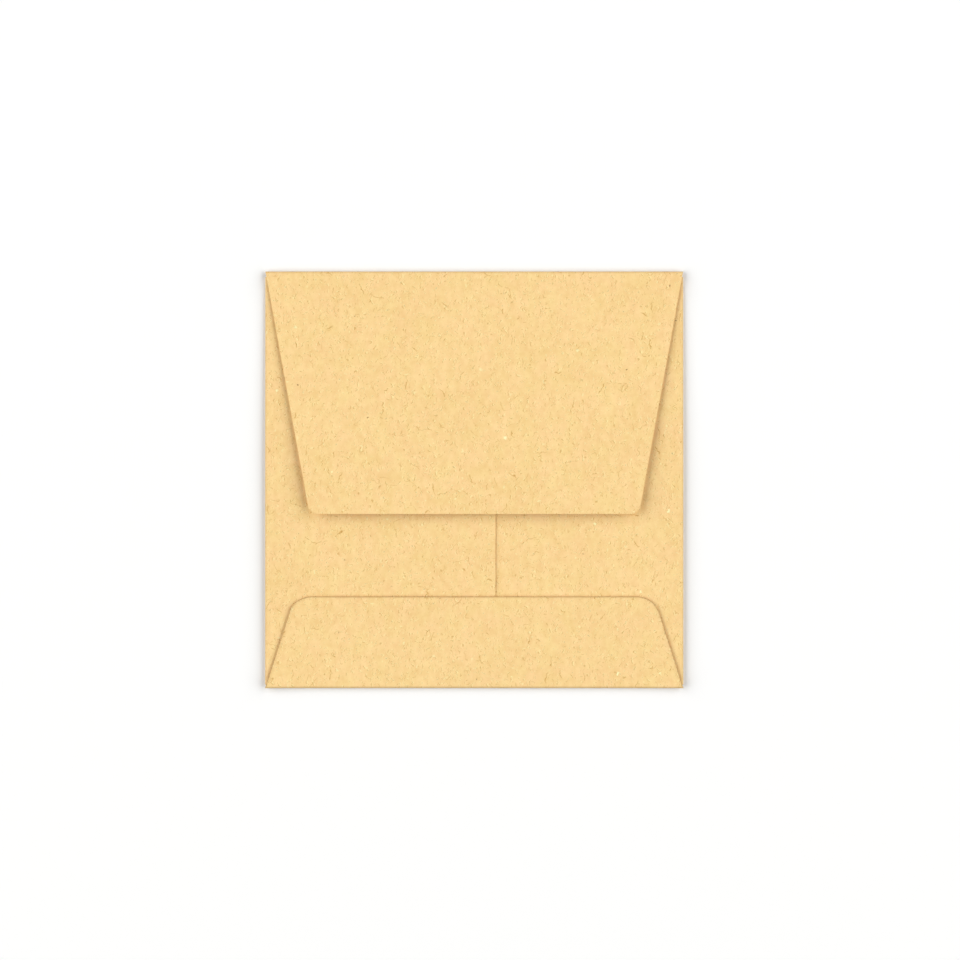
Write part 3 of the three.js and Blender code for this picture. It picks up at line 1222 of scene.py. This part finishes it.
class ENVELOPE_OT_glue(bpy.types.Operator):
    """Build the glue line of the side seam and the glue band under the bottom flap"""

    bl_idname = "envelope.glue"
    bl_label = "Glue"

    def execute(self, context):
        sizes = context.scene.envelope_sizes
        colours = context.scene.envelope_colours
        glue = dried_film("dried_paper_glue", tuple(colours.glue), 0.6, 0.0)
        low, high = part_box("seam_glue")
        bm = flat_sheet(low.x, low.y, high.x, high.y, sizes.mesh_step)
        bmesh.ops.reverse_faces(bm, faces=bm.faces)
        blank = keep_blank(bm)
        for v in bm.verts:
            v.co.z = high.z + back_wave(sizes, v.co.x, v.co.y)
        thicken(bm, blank, GLUE)
        piece = make_piece(bm, sizes, "seam_glue_line", glue, ["seam_glue"])
        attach(piece, "back_wall")

        low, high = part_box("bottom_flap_glue")
        outline = (sizes.bottom_depth, sizes.bottom_taper, sizes.bottom_corner, sizes.bottom_turn)
        for middle, name in ((LEFT, "bottom_glue_left_half"), (RIGHT, "bottom_glue_right_half")):
            bm = flat_sheet(low.x, low.y, high.x, high.y, sizes.mesh_step)
            bmesh.ops.reverse_faces(bm, faces=bm.faces)
            cut(bm, Vector(), -middle, clear=True)
            trim_flap(bm, sizes, UP_PAGE, BOTTOM_EDGE, *outline, GLUE_MARGIN)
            blank = keep_blank(bm)
            for v in bm.verts:
                lift = LAP_STEP * lap_rise(sizes, v.co.x) + back_wave(sizes, v.co.x, v.co.y)
                v.co.z = RIGHT_HIGH.z + GLUE + lift
            thicken(bm, blank, GLUE)
            piece = make_piece(bm, sizes, name, glue, ["bottom_flap_glue"])
            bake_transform(piece, "front_wall", "back_wall", middle * SIDE_X, middle * sizes.gape_reach)
        return {"FINISHED"}


class ENVELOPE_OT_seal_gum(bpy.types.Operator):
    """Build the strip of dried gum on the inner side of the top flap"""

    bl_idname = "envelope.seal_gum"
    bl_label = "Seal gum"

    def execute(self, context):
        sizes = context.scene.envelope_sizes
        colours = context.scene.envelope_colours
        gum = dried_film("dried_seal_gum", tuple(colours.gum), 0.25, 0.4)
        turn = pi - FLAP_LIFT
        steps = sizes.fold_steps
        start = CREASE.y
        fold_end = start + steps * fold_strip(CREASE.z, turn, steps)
        root = fold_end - CREASE.z
        reach = root + sizes.flap_depth
        bm = flat_sheet(-HALF_WIDTH, reach - GUM_REACH, HALF_WIDTH, reach, sizes.mesh_step)
        trim_flap(bm, sizes, UP_PAGE, root, *top_outline(sizes), GUM_MARGIN)
        blank = keep_blank(bm)
        bmesh.ops.translate(bm, vec=(0, 0, PAPER + GUM_SEAT), verts=bm.verts)
        fold_over(bm, UP_PAGE, start, CREASE.z, turn, steps)
        for v in bm.verts:
            v.co.z += flap_wave(sizes, v.co.x, v.co.y)
        thicken(bm, blank, GUM)
        piece = make_piece(bm, sizes, "seal_gum_strip", gum, ["seal_gum"])
        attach(piece, "flap")
        return {"FINISHED"}


def side_lamp(studio, name, side, share):
    """A broad soft lamp to one side, which leans over the envelope."""
    lamp = bpy.data.lights.new(name, "AREA")
    lamp.shape = "RECTANGLE"
    lamp.size = studio.lamp_width
    lamp.size_y = studio.lamp_length
    lamp.energy = studio.lamp_power * share
    stand = bpy.data.objects.new(name, lamp)
    bpy.context.scene.collection.objects.link(stand)
    lean = side * studio.lamp_lean
    stand.location = Vector((sin(lean), 0, cos(lean))) * studio.lamp_distance
    stand.location += UP_PAGE * studio.lamp_shift
    stand.rotation_euler = (0, lean, 0)


class ENVELOPE_OT_stage(bpy.types.Operator):
    """Build the table top, the lamps and the camera"""

    bl_idname = "envelope.stage"
    bl_label = "Stage"

    def execute(self, context):
        scene = context.scene
        studio = scene.envelope_studio
        bm = bmesh.new()
        bmesh.ops.create_grid(bm, x_segments=8, y_segments=8, size=TABLE_HALF)
        bmesh.ops.translate(bm, vec=(0, 0, -TABLE_DROP), verts=bm.verts)
        mesh = bpy.data.meshes.new("table_top")
        bm.to_mesh(mesh)
        bm.free()
        mesh.materials.append(white_table(scene.envelope_colours))
        table = bpy.data.objects.new("table_top", mesh)
        scene.collection.objects.link(table)

        side_lamp(studio, "left_lamp", -1, 1 - studio.right_share)
        side_lamp(studio, "right_lamp", 1, studio.right_share)

        world = bpy.data.worlds.new("pale_room")
        world.use_nodes = True
        wiring = Wiring(world.node_tree)
        lighting = wiring.tree.nodes["Background"]
        lighting.inputs["Color"].default_value = WHITE
        lighting.inputs["Strength"].default_value = studio.sky
        seen = wiring.add("ShaderNodeBackground", {"Color": WHITE, "Strength": 1.0})
        both = behind_everything(wiring, seen.outputs[0], lighting.outputs[0])
        wiring.link(both, wiring.tree.nodes["World Output"], "Surface")
        scene.world = world

        camera = bpy.data.cameras.new("overhead_camera")
        camera.lens = studio.lens
        camera.sensor_width = SENSOR_WIDTH
        camera.clip_start = NEAREST_SEEN
        tripod = bpy.data.objects.new("overhead_camera", camera)
        scene.collection.objects.link(tripod)
        height = studio.picture_width * camera.lens / camera.sensor_width
        tripod.location = Vector(studio.aim) + OUT_OF_TABLE * height
        scene.camera = tripod
        scene.view_settings.view_transform = "Standard"
        return {"FINISHED"}


class ENVELOPE_PT_sidebar(bpy.types.Panel):
    """Lists the envelope's settings and its pieces"""

    bl_label = "Square envelope"
    bl_idname = "ENVELOPE_PT_sidebar"
    bl_space_type = "VIEW_3D"
    bl_region_type = "UI"
    bl_category = "Envelope"

    def draw(self, context):
        layout = self.layout
        for group in ("envelope_sizes", "envelope_colours", "envelope_studio"):
            box = layout.box()
            settings = getattr(context.scene, group)
            for name in settings.__annotations__:
                box.prop(settings, name)
        for operator in OPERATORS:
            layout.operator(operator.bl_idname)


GROUPS = (
    ("envelope_sizes", EnvelopeSizes),
    ("envelope_colours", EnvelopeColours),
    ("envelope_studio", EnvelopeStudio),
)
OPERATORS = (
    ENVELOPE_OT_front_wall,
    ENVELOPE_OT_side_panels,
    ENVELOPE_OT_bottom_flap,
    ENVELOPE_OT_top_flap,
    ENVELOPE_OT_glue,
    ENVELOPE_OT_seal_gum,
    ENVELOPE_OT_stage,
)


def register():
    for name, group in GROUPS:
        bpy.utils.register_class(group)
        setattr(bpy.types.Scene, name, PointerProperty(type=group))
    for operator in OPERATORS:
        bpy.utils.register_class(operator)
    bpy.utils.register_class(ENVELOPE_PT_sidebar)


def unregister():
    bpy.utils.unregister_class(ENVELOPE_PT_sidebar)
    for operator in reversed(OPERATORS):
        bpy.utils.unregister_class(operator)
    for name, group in reversed(GROUPS):
        delattr(bpy.types.Scene, name)
        bpy.utils.unregister_class(group)


def main():
    register()
    bpy.ops.envelope.front_wall()
    bpy.ops.envelope.side_panels()
    bpy.ops.envelope.bottom_flap()
    bpy.ops.envelope.top_flap()
    bpy.ops.envelope.glue()
    bpy.ops.envelope.seal_gum()
    bpy.ops.envelope.stage()


if __name__ == "__main__":
    main()
